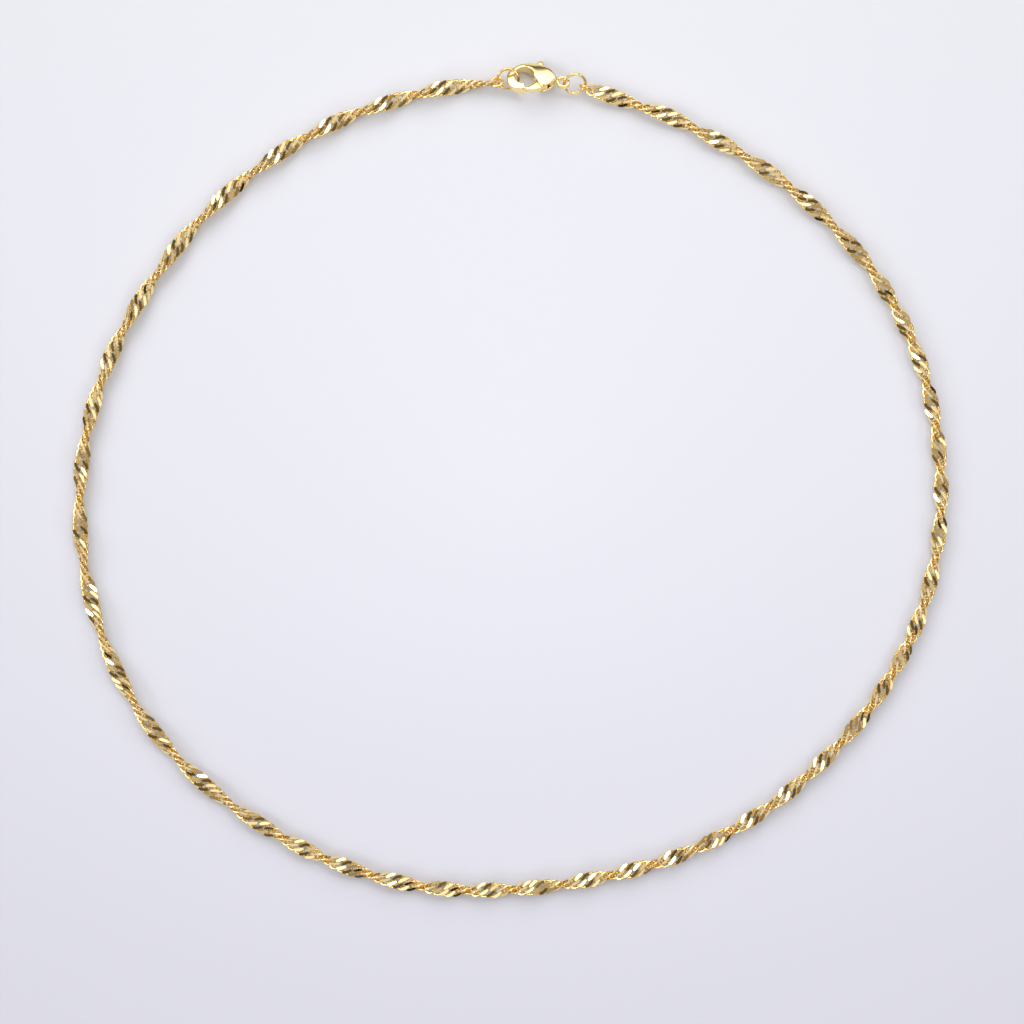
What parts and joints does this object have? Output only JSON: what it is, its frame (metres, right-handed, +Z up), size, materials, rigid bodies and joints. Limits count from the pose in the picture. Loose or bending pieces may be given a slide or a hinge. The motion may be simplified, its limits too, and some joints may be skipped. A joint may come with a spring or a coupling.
{
  "type": "singapore chain necklace",
  "caption": "Twisted ribbon of slanted curb links lying as an open loop, closed by a claw clasp on two jump rings.",
  "frame": {"origin": "middle of the loop's bounding box, on the surface that it lies on", "axes": "+X across the loop towards the clasp's tail, +Y towards the clasp, +Z up from the surface"},
  "size_m": [0.1532, 0.1464, 0.0039],
  "materials": {
    "gold": "polished"
  },
  "bodies": {
    "necklace": {"chain": "gold", "end_link_left": "gold", "end_link_right": "gold", "jump_ring_left": "gold", "jump_ring_right": "gold", "clasp_body": "gold", "clasp_rivet": "gold"},
    "lever": {"clasp_lever": "gold"}
  },
  "joints": [
    {"name": "lever_hinge", "type": "hinge", "parent": "necklace", "child": "lever", "pos_m": [0.0056, 0.06889, 0.00244], "axis": [0, -0.4384, -0.8988], "range_deg": [0, 30], "stiffness_Nm_per_rad": 0.002, "springref_deg": -17.19}
  ]
}
